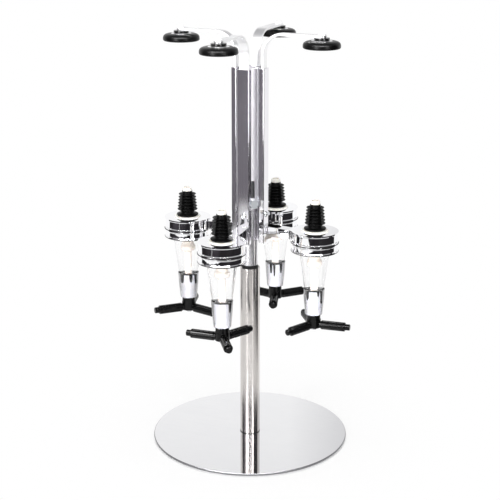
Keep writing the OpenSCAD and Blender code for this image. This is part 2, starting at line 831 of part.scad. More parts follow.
module pad_screw(k) {
    top = arm_under + arm_t;
    color([0.82, 0.83, 0.85]) at_station(k) translate([pad_axis_r, 0, 0]) difference() {
        union() {
            translate([0, 0, arm_under - pad_screw_depth])
                cylinder(d = pad_screw_d, h = arm_t + pad_screw_depth + 1);
            translate([0, 0, top]) pan_head(pad_head_d, pad_head_t);
        }
        translate([0, 0, top + pad_head_t / 2]) cross_recess(pad_head_d, pad_head_t);
    }
}

base_mat();
base_plate();
base_screws();
pole();
pole_foot();
spindle();
bearing_washer();
column();
retaining_bolt();
bracket_screws();
for (k = stations) {
    bracket(k);
    clamp_ring(k);
    inlet_cap(k);
    stopper(k);
    chamber(k);
    nozzle(k);
    lever(k);
    plunger(k);
    return_spring(k);
    arm(k);
    bottle_pad(k);
    pad_screw(k);
}
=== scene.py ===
"""Dresses a rotary liquor dispenser: its finishes, fine rubber and wire forms, studio and camera."""

import logging
import math
from abc import ABC, abstractmethod
from collections.abc import Iterable, Mapping, Sequence
from dataclasses import dataclass
from enum import Enum
from typing import Any, ClassVar, TypeAlias

import bpy
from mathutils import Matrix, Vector


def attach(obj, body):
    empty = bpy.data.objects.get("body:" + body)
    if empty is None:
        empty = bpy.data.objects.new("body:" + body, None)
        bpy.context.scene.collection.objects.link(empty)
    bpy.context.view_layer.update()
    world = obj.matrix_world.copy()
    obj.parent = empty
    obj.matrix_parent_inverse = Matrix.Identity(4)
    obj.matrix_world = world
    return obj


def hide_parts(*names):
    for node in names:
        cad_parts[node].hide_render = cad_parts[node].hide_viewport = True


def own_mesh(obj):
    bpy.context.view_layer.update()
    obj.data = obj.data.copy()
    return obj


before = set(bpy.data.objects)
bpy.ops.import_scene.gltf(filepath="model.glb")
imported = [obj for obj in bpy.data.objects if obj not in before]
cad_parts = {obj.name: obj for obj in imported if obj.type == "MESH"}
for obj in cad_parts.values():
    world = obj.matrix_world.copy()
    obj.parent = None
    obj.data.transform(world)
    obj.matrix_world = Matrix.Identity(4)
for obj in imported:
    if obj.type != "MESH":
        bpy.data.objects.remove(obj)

log = logging.getLogger("dispenser")

MM = 0.001
FULL_TURN = 2 * math.pi
UP = (0.0, 0.0, 1.0)
SHARP_EDGE = 38.0  # Degrees past which an edge of a piece stays sharp.
SIDE_SHARE = 0.45  # Share of a side that the rounding of each of its corners may take.
BEVEL_EDGE = 40.0  # Degrees past which an edge of a CAD node is broken.
WELD_GAP = 1e-6

Triple: TypeAlias = tuple[float, float, float]
Colour: TypeAlias = Triple
Point: TypeAlias = tuple[float, float]
Outline: TypeAlias = tuple[Point, ...]
Face: TypeAlias = tuple[int, ...]
Term: TypeAlias = "Value | float"

WHITE: Colour = (1.0, 1.0, 1.0)


def level(turn: float) -> Vector:
    """Level vector of length 1, at an angle in radians from the X axis."""
    return Vector((math.cos(turn), math.sin(turn), 0))


class Station(Enum):
    """The four places round the column, named and numbered as they stand round it in the camera's view."""

    RIGHT = 1
    BACK = 2
    LEFT = 3
    FRONT = 4

    def own(self, stem: str) -> str:
        """Name of this station's node, piece, body or joint of one kind."""
        return f"{stem}_{self.value}"

    def at(self, radius: float) -> Vector:
        """Point at floor level, this many millimetres out from the column's axis."""
        return level(math.radians(90 * (self.value - 1))) * radius * MM


class Grain(Enum):
    """Way the polishing or drawing lines run on a metal, as the noise scale along X, Y and Z."""

    NONE = (40.0, 40.0, 40.0)
    UPRIGHT = (900.0, 900.0, 5.0)
    ROUND = (6.0, 6.0, 2600.0)
    ACROSS = (7.0, 1500.0, 1500.0)


class Value:
    """A number socket that takes part in Python expressions, each of which adds its Math node."""

    def __init__(self, graph: "Graph", socket: bpy.types.NodeSocket) -> None:
        """Keeps the socket and the graph that it belongs to."""
        self.graph = graph
        self.socket = socket

    def _math(self, operation: str, first: Term, second: Term, clamp: bool = False) -> "Value":
        """Adds one Math node.

        Args:
            operation: Blender's name of the operation.
            first: Number or Value of the first socket.
            second: Number or Value of the second socket.
            clamp: Whether the result is kept between 0 and 1.

        Returns:
            The node's result.
        """
        settings = {"operation": operation, "use_clamp": clamp}
        made = self.graph.node("ShaderNodeMath", settings, {0: first, 1: second})
        return Value(self.graph, made.outputs[0])

    def __add__(self, other: Term) -> "Value":
        """Sum."""
        return self._math("ADD", self, other)

    def __radd__(self, other: Term) -> "Value":
        """Sum with a number on the left."""
        return self._math("ADD", other, self)

    def __sub__(self, other: Term) -> "Value":
        """Difference."""
        return self._math("SUBTRACT", self, other)

    def __rsub__(self, other: Term) -> "Value":
        """Difference with a number on the left."""
        return self._math("SUBTRACT", other, self)

    def __mul__(self, other: Term) -> "Value":
        """Product."""
        return self._math("MULTIPLY", self, other)

    def __rmul__(self, other: Term) -> "Value":
        """Product with a number on the left."""
        return self._math("MULTIPLY", other, self)

    def __truediv__(self, other: Term) -> "Value":
        """Quotient."""
        return self._math("DIVIDE", self, other)

    def __rtruediv__(self, other: Term) -> "Value":
        """Quotient with a number on the left."""
        return self._math("DIVIDE", other, self)

    def __pow__(self, other: Term) -> "Value":
        """Power."""
        return self._math("POWER", self, other)

    def __lt__(self, other: Term) -> "Value":
        """1 where this value is the smaller, 0 elsewhere."""
        return self._math("LESS_THAN", self, other)

    def most(self, other: Term) -> "Value":
        """The greater of two values."""
        return self._math("MAXIMUM", self, other)

    def within(self) -> "Value":
        """This value kept between 0 and 1."""
        return self._math("ADD", self, 0.0, clamp=True)

    def rise(self, start: float, end: float) -> "Value":
        """A straight rise from 0 at the start to 1 at the end, level outside."""
        return ((self - start) / (end - start)).within()


class Graph:
    """A node tree of a material or of the world, with one way to add a node."""

    def __init__(self, tree: bpy.types.NodeTree) -> None:
        """Empties the tree."""
        self.tree = tree
        tree.nodes.clear()

    def node(
        self, kind: str, settings: Mapping[str, Any] | None = None, sockets: Mapping[Any, Any] | None = None
    ) -> bpy.types.Node:
        """Adds a node.

        Args:
            kind: Blender's name of the node type.
            settings: Properties, set first.
            sockets: Values or links of the input sockets, by name or by index.

        Returns:
            The new node.
        """
        made = self.tree.nodes.new(kind)
        for name, value in (settings or {}).items():
            setattr(made, name, value)
        for name, value in (sockets or {}).items():
            self._feed(made.inputs[name], value)
        return made

    def _feed(self, socket: bpy.types.NodeSocket, value: Any) -> None:
        """Links a value or output to a socket, or sets the socket's own value.

        Args:
            socket: Input socket.
            value: A Value, an output socket, or what the socket itself holds.
        """
        if isinstance(value, Value):
            self.tree.links.new(value.socket, socket)
        elif isinstance(value, bpy.types.NodeSocket):
            self.tree.links.new(value, socket)
        elif isinstance(value, tuple) and socket.type == "RGBA":
            socket.default_value = (*value, 1.0)
        else:
            socket.default_value = value

    def place(self, scale: Sequence[float]) -> bpy.types.NodeSocket:
        """Point on the surface in the part's own frame, stretched along each axis.

        Args:
            scale: Factors along X, Y and Z.

        Returns:
            The stretched point.
        """
        point = self.node("ShaderNodeTexCoord").outputs["Object"]
        made = self.node("ShaderNodeVectorMath", {"operation": "MULTIPLY"}, {0: point, 1: tuple(scale)})
        return made.outputs[0]

    def noise(self, scale: Sequence[float], detail: float = 3.0, rough: float = 0.5) -> Value:
        """Soft noise over the surface.

        Args:
            scale: Spots per metre along X, Y and Z.
            detail: Number of finer layers.
            rough: Share of the finer layers.

        Returns:
            Noise from 0 to 1.
        """
        sockets = {"Vector": self.place(scale), "Scale": 1.0, "Detail": detail, "Roughness": rough}
        return Value(self, self.node("ShaderNodeTexNoise", None, sockets).outputs[0])

    def specks(self, scale: float, size: float) -> Value:
        """Small scattered specks.

        Args:
            scale: Cells per metre.
            size: Radius of a speck as a share of a cell.

        Returns:
            1 inside a speck, 0 outside.
        """
        sockets = {"Vector": self.place((scale,) * 3), "Scale": 1.0}
        return Value(self, self.node("ShaderNodeTexVoronoi", None, sockets).outputs["Distance"]) < size

    def along(self, way: Sequence[float]) -> Value:
        """Distance of the surface point from the part's axis or floor along one way.

        Args:
            way: Direction along which the distance is taken.

        Returns:
            Distance in metres for a way of length 1.
        """
        sockets = {0: self.place((1.0, 1.0, 1.0)), 1: tuple(way)}
        made = self.node("ShaderNodeVectorMath", {"operation": "DOT_PRODUCT"}, sockets)
        return Value(self, made.outputs["Value"])

    def radius(self) -> Value:
        """Distance of the surface point from the part's upright axis, in metres."""
        made = self.node("ShaderNodeVectorMath", {"operation": "LENGTH"}, {0: self.place((1.0, 1.0, 0.0))})
        return Value(self, made.outputs["Value"])

    def colours(self, factor: Value, low: Any, high: Any) -> bpy.types.NodeSocket:
        """Mixes two colours.

        Args:
            factor: 0 for the low colour, 1 for the high one.
            low: First colour or output of another mix.
            high: Second colour or output of another mix.

        Returns:
            The mixed colour.
        """
        made = self.node("ShaderNodeMix", {"data_type": "RGBA"}, {0: factor, 6: low, 7: high})
        return made.outputs[2]

    def bump(self, height: Value, strength: float, depth: float) -> bpy.types.NodeSocket:
        """Bends the normal by a height.

        Args:
            height: Height from 0 to 1.
            strength: Share of the effect, from 0 to 1.
            depth: Height of a full step, in metres.

        Returns:
            The bent normal.
        """
        sockets = {"Strength": strength, "Distance": depth, "Height": height}
        return self.node("ShaderNodeBump", None, sockets).outputs["Normal"]

    def glow(self, colour: Any, strength: float = 1.0) -> bpy.types.NodeSocket:
        """Shader of a surface that shines in one colour or in a mix of colours."""
        return self.node("ShaderNodeEmission", None, {"Color": colour, "Strength": strength}).outputs[0]

    def facing(self, blend: float) -> Value:
        """Share by which the surface is seen edge-on."""
        return Value(self, self.node("ShaderNodeLayerWeight", None, {"Blend": blend}).outputs["Facing"])

    def ray(self, name: str) -> Value:
        """1 for one kind of ray, 0 for the others."""
        return Value(self, self.node("ShaderNodeLightPath").outputs[name])


@dataclass(frozen=True)
class Surface(ABC):
    """What a surface is made of or shines with; each kind builds its own node tree."""

    name: str

    def material(self) -> bpy.types.Material:
        """Material of this surface, made once."""
        return bpy.data.materials.get(self.name) or self._make()

    def _make(self) -> bpy.types.Material:
        """Makes the material.

        Returns:
            The new material.
        """
        made = bpy.data.materials.new(self.name)
        made.use_nodes = True
        graph = Graph(made.node_tree)
        graph.node("ShaderNodeOutputMaterial", None, {"Surface": self.shader(graph)})
        return made

    @abstractmethod
    def shader(self, graph: Graph) -> bpy.types.NodeSocket:
        """Shader of the surface."""


@dataclass(frozen=True)
class Finish(Surface):
    """Finish of a piece of the dispenser, all in one Principled shader."""

    def shader(self, graph: Graph) -> bpy.types.NodeSocket:
        """The Principled shader with this finish's sockets."""
        return graph.node("ShaderNodeBsdfPrincipled", None, self.sockets(graph)).outputs[0]

    @abstractmethod
    def sockets(self, graph: Graph) -> dict[str, Any]:
        """Values and links of the Principled shader's sockets."""


@dataclass(frozen=True)
class Metal(Finish):
    """Polished, plated or drawn metal with grain lines, handling smudges and pinholes.

    Nearer to the part's axis than core_r it is matt, less so below core_z, and past the rim radius it is
    rougher and painted dark, a painted shade line along its outer edge. These three and the groove are in
    millimetres, and 0 leaves the effect out.
    """

    CLOUD: ClassVar[float] = 28.0  # Smudges per metre.
    PITS: ClassVar[float] = 260.0  # Places for a pinhole per metre.
    PIT_ROUGH: ClassVar[float] = 0.2
    CORE_ROUGH: ClassVar[float] = 0.35
    CORE_POLISH: ClassVar[float] = 0.19  # Taken off again below core_z.
    RIM_ROUGH: ClassVar[float] = 0.3
    # Painted shade: dark colour of the outer rim, standing in for the thin shadow line along a plate's edge.
    RIM_SHADE_COLOUR: ClassVar[Colour] = (0.24, 0.24, 0.25)
    BRUSH_TURN: ClassVar[float] = 0.25  # Quarter turn of the stretched highlights.

    dark: Colour
    light: Colour
    roughness: float
    smudge: float = 0.05
    grain: Grain = Grain.NONE
    groove: float = 0.0
    streak: float = 0.0
    pinhole: float = 0.0
    anisotropy: float = 0.0
    strength: float = 0.35
    core_r: float = 0.0
    core_z: float = 0.0
    rim_shade_r: float = 0.0

    def sockets(self, graph: Graph) -> dict[str, Any]:
        """Builds the metal.

        Args:
            graph: The material's graph.

        Returns:
            Values and links of the Principled shader.
        """
        cloud = graph.noise((self.CLOUD,) * 3, detail=4.0, rough=0.6)
        line = graph.noise(self.grain.value, detail=4.0, rough=0.65)
        tone = (cloud * 0.5 + line * (0.5 + self.streak)).within()
        rough = self.roughness + (cloud ** 2.0) * self.smudge + line * (self.smudge * self.streak)
        if self.pinhole:
            pit = graph.specks(self.PITS, self.pinhole)
            tone = (tone + pit).within()
            rough = rough + pit * self.PIT_ROUGH
        if self.core_r:
            low = graph.along(UP) < self.core_z * MM
            rough = rough + (graph.radius() < self.core_r * MM) * (self.CORE_ROUGH - low * self.CORE_POLISH)
        colour = graph.colours(tone, self.dark, self.light)
        # Painted shade: past the rim radius the colour turns dark for the shadow line along the edge; the rim
        # is rougher too.
        if self.rim_shade_r:
            rim_shade = 1.0 - (graph.radius() < self.rim_shade_r * MM)
            rough = rough + rim_shade * self.RIM_ROUGH
            colour = graph.colours(rim_shade, colour, self.RIM_SHADE_COLOUR)
        return {
            "Base Color": colour,
            "Metallic": 1.0,
            "Roughness": rough,
            "Normal": graph.bump(line + cloud * 0.4, self.strength, self.groove * MM),
            "Anisotropic": self.anisotropy,
            "Anisotropic Rotation": self.BRUSH_TURN if self.anisotropy else 0.0,
        }


@dataclass(frozen=True)
class Moulding(Finish):
    """Opaque moulded plastic with a fine tool grain and slight drift of colour.

    The grain is in spots per metre, its depth in millimetres, and the glow is the share of light let in.
    """

    DRIFT: ClassVar[float] = 45.0  # Patches per metre.
    BLEED: ClassVar[Triple] = (0.004, 0.003, 0.002)  # How deep red, green and blue light go, in metres.
    BLEED_SCALE: ClassVar[float] = 0.5
    RELIEF: ClassVar[float] = 0.25

    dark: Colour
    light: Colour
    roughness: float
    grain: float = 1400.0
    depth: float = 0.02
    gloss: float = 0.5
    glow: float = 0.0

    def sockets(self, graph: Graph) -> dict[str, Any]:
        """Builds the plastic.

        Args:
            graph: The material's graph.

        Returns:
            Values and links of the Principled shader.
        """
        drift = graph.noise((self.DRIFT,) * 3)
        grain = graph.noise((self.grain,) * 3, detail=2.0)
        tone = (drift * 1.2 + grain * 0.3 - 0.25).within()
        return {
            "Base Color": graph.colours(tone, self.dark, self.light),
            "Roughness": self.roughness * (0.75 + drift * 0.5 + grain * 0.3),
            "Specular IOR Level": self.gloss,
            "Subsurface Weight": self.glow,
            "Subsurface Radius": self.BLEED,
            "Subsurface Scale": self.BLEED_SCALE,
            "Normal": graph.bump(grain, self.RELIEF, self.depth * MM),
        }


@dataclass(frozen=True)
class Rubber(Finish):
    """Moulded rubber with a pale bloom in patches and a fine skin."""

    PATCH: ClassVar[float] = 70.0  # Patches of bloom per metre.
    BLOOM_FROM: ClassVar[float] = 0.42
    BLOOM_GAIN: ClassVar[float] = 2.2
    SKIN: ClassVar[float] = 2400.0  # Spots per metre.
    SKIN_DEPTH: ClassVar[float] = 0.03  # Millimetres.
    RELIEF: ClassVar[float] = 0.3

    dark: Colour
    bloom: Colour
    roughness: float
    dust: float = 0.5
    gloss: float = 0.5

    def sockets(self, graph: Graph) -> dict[str, Any]:
        """Builds the rubber.

        Args:
            graph: The material's graph.

        Returns:
            Values and links of the Principled shader.
        """
        patch = graph.noise((self.PATCH,) * 3, detail=5.0, rough=0.65)
        skin = graph.noise((self.SKIN,) * 3, detail=2.0)
        bloom = ((patch - self.BLOOM_FROM) * self.BLOOM_GAIN).within() * self.dust
        return {
            "Base Color": graph.colours(bloom, self.dark, self.bloom),
            "Roughness": self.roughness + bloom * 0.18 + skin * 0.06,
            "Specular IOR Level": self.gloss,
            "Normal": graph.bump(skin + patch * 0.5, self.RELIEF, self.SKIN_DEPTH * MM),
        }


@dataclass(frozen=True)
class ClearPlastic(Finish):
    """Clear moulded plastic with faint flow lines, greyer where it is seen edge-on: partly the longer path
    through the plastic, partly a painted reflection of dark surroundings at the edges.
    """

    FLOW: ClassVar[Triple] = (260.0, 260.0, 30.0)  # Lines per metre along X, Y and Z.
    FLOW_DEPTH: ClassVar[float] = 0.04  # Millimetres.
    FLOW_ROUGH: ClassVar[float] = 0.02
    RELIEF: ClassVar[float] = 0.12

    edge: Colour
    body: Colour
    fade: float
    streak: float = 0.08
    roughness: float = 0.015
    index: float = 1.47

    def sockets(self, graph: Graph) -> dict[str, Any]:
        """Builds the plastic.

        Args:
            graph: The material's graph.

        Returns:
            Values and links of the Principled shader.
        """
        flow = graph.noise(self.FLOW)
        # Edge-on grey: partly the longer path through the plastic, partly painted reflection of dark
        # surroundings.
        rim = graph.facing(0.5) ** self.fade + (flow - 0.5) * self.streak
        return {
            "Base Color": graph.colours(rim.within(), self.body, self.edge),
            "Roughness": self.roughness + flow * self.FLOW_ROUGH,
            "IOR": self.index,
            "Transmission Weight": 1.0,
            "Normal": graph.bump(flow, self.RELIEF, self.FLOW_DEPTH * MM),
        }


CHROME = Metal("ring_chrome_plate", (0.93, 0.93, 0.95), (0.99, 0.99, 1.0), 0.02, 0.04, groove=0.003)
# Past 124.3 mm the plate's rim carries the painted shade line.
PLATE_STEEL = Metal(
    "base_plate_steel", (0.84, 0.84, 0.86), (0.92, 0.92, 0.93), 0.03, 0.04, Grain.ACROSS, 0.0006, 0.4,
    rim_shade_r=124.3,
)
POLE_STEEL = Metal(
    "pole_brushed_steel", (0.46, 0.43, 0.41), (0.70, 0.67, 0.65), 0.175, 0.04, Grain.ROUND, 0.045, 0.6,
    anisotropy=0.92, strength=0.7,
)
COLUMN_ALUMINIUM = Metal(
    "column_drawn_aluminium", (0.74, 0.72, 0.75), (0.86, 0.85, 0.88), 0.05, 0.05, Grain.UPRIGHT, 0.003, 0.8,
    pinhole=0.06, core_r=11.0, core_z=306.0,
)
ARM_STEEL = Metal(
    "arm_satin_steel", (0.87, 0.87, 0.88), (0.97, 0.97, 0.97), 0.30, 0.10, groove=0.004, pinhole=0.07
)
SCREW_STEEL = Metal("screw_plated_steel", (0.74, 0.75, 0.77), (0.92, 0.92, 0.93), 0.14, 0.14, groove=0.006)
BOLT_ZINC = Metal("bolt_zinc_plate", (0.66, 0.70, 0.74), (0.85, 0.88, 0.90), 0.30, 0.10, groove=0.006)
NUT_SATIN = Metal("nut_satin_steel", (0.95, 0.95, 0.96), WHITE, 0.60, 0.10, groove=0.004)
PLUG_STEEL = Metal(
    "plug_turned_steel", (0.30, 0.30, 0.32), (0.50, 0.50, 0.51), 0.34, 0.15, Grain.ROUND, 0.01, 0.5
)
# Painted shade: the spindle is coloured near black for the dark inside of the column's slot, where it shows.
SPINDLE_SHADE_STEEL = Metal(
    "spindle_painted_shade_steel", (0.05, 0.05, 0.055), (0.12, 0.12, 0.125), 0.35, 0.15, Grain.ROUND, 0.01, 0.5
)
SPRING_STEEL = Metal("spring_wire_steel", (0.55, 0.55, 0.57), (0.80, 0.80, 0.81), 0.18, 0.10, groove=0.004)
CREAM = Moulding("cream_moulded_plastic", (0.92, 0.88, 0.80), (0.98, 0.95, 0.90), 0.30, glow=0.15)
PLUNGER_CREAM = Moulding(
    "plunger_moulded_plastic", (0.58, 0.515, 0.465), (0.65, 0.60, 0.56), 0.34, glow=0.2
)
LEVER_BLACK = Moulding(
    "lever_moulded_plastic", (0.0015, 0.0015, 0.0015), (0.004, 0.004, 0.0045), 0.04, 1100.0, 0.003, 0.22
)
WASHER_BLACK = Moulding(
    "washer_moulded_plastic", (0.004, 0.004, 0.004), (0.012, 0.012, 0.012), 0.42, gloss=0.2
)
SPACER_BLACK = Moulding(
    "spacer_moulded_plastic", (0.003, 0.003, 0.003), (0.008, 0.008, 0.008), 0.10, gloss=0.6
)
STOPPER_RUBBER = Rubber(
    "stopper_moulded_rubber", (0.002, 0.002, 0.002), (0.010, 0.010, 0.011), 0.40, 0.4, 0.10
)
PAD_RUBBER = Rubber("pad_moulded_rubber", (0.002, 0.002, 0.002), (0.010, 0.010, 0.011), 0.27, 0.35, 0.20)
MAT_RUBBER = Rubber("mat_sheet_rubber", (0.015, 0.015, 0.015), (0.07, 0.07, 0.068), 0.62, 0.8)
VALVE_RUBBER = Rubber("valve_washer_rubber", (0.003, 0.003, 0.003), (0.012, 0.012, 0.012), 0.35, 0.4, 0.2)
CHAMBER_CLEAR = ClearPlastic("chamber_clear_plastic", (0.62, 0.63, 0.66), (0.995, 0.995, 0.995), 4.3)
# The nozzle's near-black edge colour paints dark reflections along its edges.
NOZZLE_CLEAR = ClearPlastic("nozzle_clear_plastic", (0.0, 0.0, 0.01), (0.99, 0.99, 1.0), 0.8, 0.5)
LINER_PALE = Moulding("liner_pale_plastic", (0.56, 0.555, 0.595), (0.69, 0.685, 0.715), 0.25, glow=0.1)


def piece(
    name: str, points: Iterable[Sequence[float]], faces: Iterable[Face], sharp: float = SHARP_EDGE
) -> bpy.types.Object:
    """Makes a mesh object that stands where its points say.

    Args:
        name: Name of the object.
        points: Corners in the part's frame, in metres.
        faces: Corner numbers of each face.
        sharp: Angle in degrees past which an edge stays sharp.

    Returns:
        The new object, smooth-shaded.
    """
    mesh = bpy.data.meshes.new(name)
    mesh.from_pydata([tuple(point) for point in points], [], list(faces))
    mesh.polygons.foreach_set("use_smooth", [True] * len(mesh.polygons))
    mesh.set_sharp_from_angle(angle=math.radians(sharp))
    mesh.update()
    made = bpy.data.objects.new(name, mesh)
    bpy.context.scene.collection.objects.link(made)
    return made


def rounded(outline: Sequence[Point], radius: float, steps: int = 3) -> list[Point]:
    """Rounds the corners of a closed outline.

    Args:
        outline: Corner points in millimetres, in order.
        radius: Distance from each corner at which its rounding starts, cut to what the sides allow.
        steps: Number of points that replace a corner, less one.

    Returns:
        The rounded outline.
    """
    made: list[Point] = []
    count = len(outline)
    for index, corner in enumerate(outline):
        here = Vector(corner)
        before = Vector(outline[index - 1]) - here
        after = Vector(outline[(index + 1) % count]) - here
        start = here + before.normalized() * min(radius, before.length * SIDE_SHARE)
        end = here + after.normalized() * min(radius, after.length * SIDE_SHARE)
        for step in range(steps + 1):
            share = step / steps
            bend = start * (1 - share) ** 2 + here * (2 * share * (1 - share)) + end * share**2
            made.append((bend.x, bend.y))
    return made


def ring(radius: float, height: float, wire: float, steps: int = 14) -> list[Point]:
    """Outline of a round wire bent to a ring.

    Args:
        radius: Distance of the wire's middle from the ring's axis, in millimetres.
        height: Height of its middle.
        wire: Radius of the wire.
        steps: Number of points round the wire.

    Returns:
        The outline for a lathe.
    """
    turns = (FULL_TURN * step / steps for step in range(steps))
    return [(radius + wire * math.cos(turn), height + wire * math.sin(turn)) for turn in turns]


def around(centre: Vector, turn: float, outline: Iterable[Point]) -> list[Vector]:
    """Corners of an outline at one place round an upright axis.

    Args:
        centre: Point on the axis at floor level, in metres.
        turn: Angle from the X axis, in radians.
        outline: Radius and height of each corner, in millimetres.

    Returns:
        The corners, in metres.
    """
    aside = level(turn)
    return [centre + (aside * radius + Vector((0, 0, height))) * MM for radius, height in outline]


def band(segments: int, count: int) -> list[Face]:
    """Faces of a closed outline that goes once round an axis.

    Args:
        segments: Number of places round the axis.
        count: Number of corners of the outline.

    Returns:
        Corner numbers of each face.
    """
    faces: list[Face] = []
    for step in range(segments):
        here, there = step * count, (step + 1) % segments * count
        for row in range(count):
            up = (row + 1) % count
            faces.append((here + row, there + row, there + up, here + up))
    return faces


def lathe(name: str, centre: Vector, outline: Sequence[Point], segments: int = 112) -> bpy.types.Object:
    """Turns a closed outline round an upright axis.

    Args:
        name: Name of the object.
        centre: Point on the axis at floor level, in metres.
        outline: Radius and height of each corner, in millimetres.
        segments: Number of steps round the axis.

    Returns:
        The turned piece.
    """
    points: list[Vector] = []
    for step in range(segments):
        points += around(centre, FULL_TURN * step / segments, outline)
    return piece(name, points, band(segments, len(outline)))


def dress(names: Iterable[str], finish: Finish, bevel: float = 0.0) -> None:
    """Gives CAD nodes their finish, and breaks their sharp edges as a real piece has them broken.

    Args:
        names: Names of the nodes.
        finish: Finish that they get.
        bevel: Width of the broken edge in millimetres; 0 leaves the edges as they are.
    """
    for name in names:
        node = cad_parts[name]
        node.data.materials.clear()
        node.data.materials.append(finish.material())
        if bevel:
            weld = node.modifiers.new("joined_edges", "WELD")
            weld.merge_threshold = WELD_GAP
            edge = node.modifiers.new("broken_edges", "BEVEL")
            edge.width = bevel * MM
            edge.segments = 2
            edge.limit_method = "ANGLE"
            edge.angle_limit = math.radians(BEVEL_EDGE)
            node.modifiers.new("face_normals", "WEIGHTED_NORMAL")
        log.info("%s: %s", name, finish.name)


def join(made: bpy.types.Object, body: str, finish: Finish) -> bpy.types.Object:
    """Sets a new piece on the body that carries it.

    Args:
        made: The piece, in place.
        body: Body that it moves with.
        finish: Its finish.

    Returns:
        The same piece.
    """
    made.data.materials.append(finish.material())
    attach(made, body)
    log.info("%s: %s on %s", made.name, finish.name, body)
    return made


@dataclass
class Stand:
    """Base plate, pole and what holds them together."""

    edge: float = 0.15
    pole_r: float = 12.5
    plate_top: float = 4.5
    # Wire of the dark ring at the pole's foot, a painted shade line where pole meets plate.
    shade_seal_r: float = 0.4

    def build(self) -> None:
        """Dresses the stand's nodes and makes the dark ring of painted shade round the foot of the pole."""
        dress(["base_mat"], MAT_RUBBER)
        dress(["base_plate"], PLATE_STEEL)
        dress(["base_screws"], SCREW_STEEL)
        dress(["pole"], POLE_STEEL, self.edge)
        dress(["pole_foot"], PLUG_STEEL)
        dress(["spindle"], SPINDLE_SHADE_STEEL)
        dress(["bearing_washer"], WASHER_BLACK)
        self._foot_shade_ring()

    def _foot_shade_ring(self) -> None:
        """Makes the thin dark ring round the foot of the pole, painted shade for the shadow line where the
        pole meets the plate.
        """
        outline = ring(self.pole_r, self.plate_top + self.shade_seal_r, self.shade_seal_r)
        join(lathe("pole_foot_shade", Vector((0, 0, 0)), outline), "stand", WASHER_BLACK)


@dataclass
class Column:
    """Turning column with its bolt and the screws that hold the brackets."""

    edge: float = 0.2

    def build(self) -> None:
        """Dresses the column's nodes."""
        dress(["column"], COLUMN_ALUMINIUM, self.edge)
        dress(["retaining_bolt"], BOLT_ZINC, self.edge)
        dress(["bracket_screws"], SCREW_STEEL, self.edge)


# Tongues of each nozzle's dark seal, painted reflections: dark strips set where the dark streaks of mirrored
# surroundings show on each nozzle. Angle of the middle and half width in degrees, length in millimetres.
REFLECTION_TONGUES: Mapping[Station, tuple[Triple, ...]] = {
    Station.RIGHT: ((244.0, 12.0, 11.0), (318.0, 8.0, 6.0), (346.0, 13.0, 16.0), (120.0, 10.0, 9.0)),
    Station.BACK: ((262.0, 10.0, 12.0), (286.0, 8.0, 16.0), (334.0, 11.0, 12.0), (150.0, 10.0, 9.0)),
    Station.LEFT: ((248.0, 16.0, 11.0), (312.0, 12.0, 9.5), (352.0, 14.0, 12.0), (110.0, 10.0, 9.0)),
    Station.FRONT: ((354.0, 16.0, 12.0), (30.0, 10.0, 8.0), (140.0, 10.0, 9.0), (214.0, 8.0, 6.0)),
}


@dataclass
class Fitting:
    """What stands round one station's own upright axis, axis_r millimetres out from the column's."""

    station: Station
    axis_r: float = 86.0

    def turned(self, name: str, outline: Sequence[Point], segments: int = 112) -> bpy.types.Object:
        """One of the station's pieces, turned round its axis."""
        return lathe(self.station.own(name), self.station.at(self.axis_r), outline, segments)


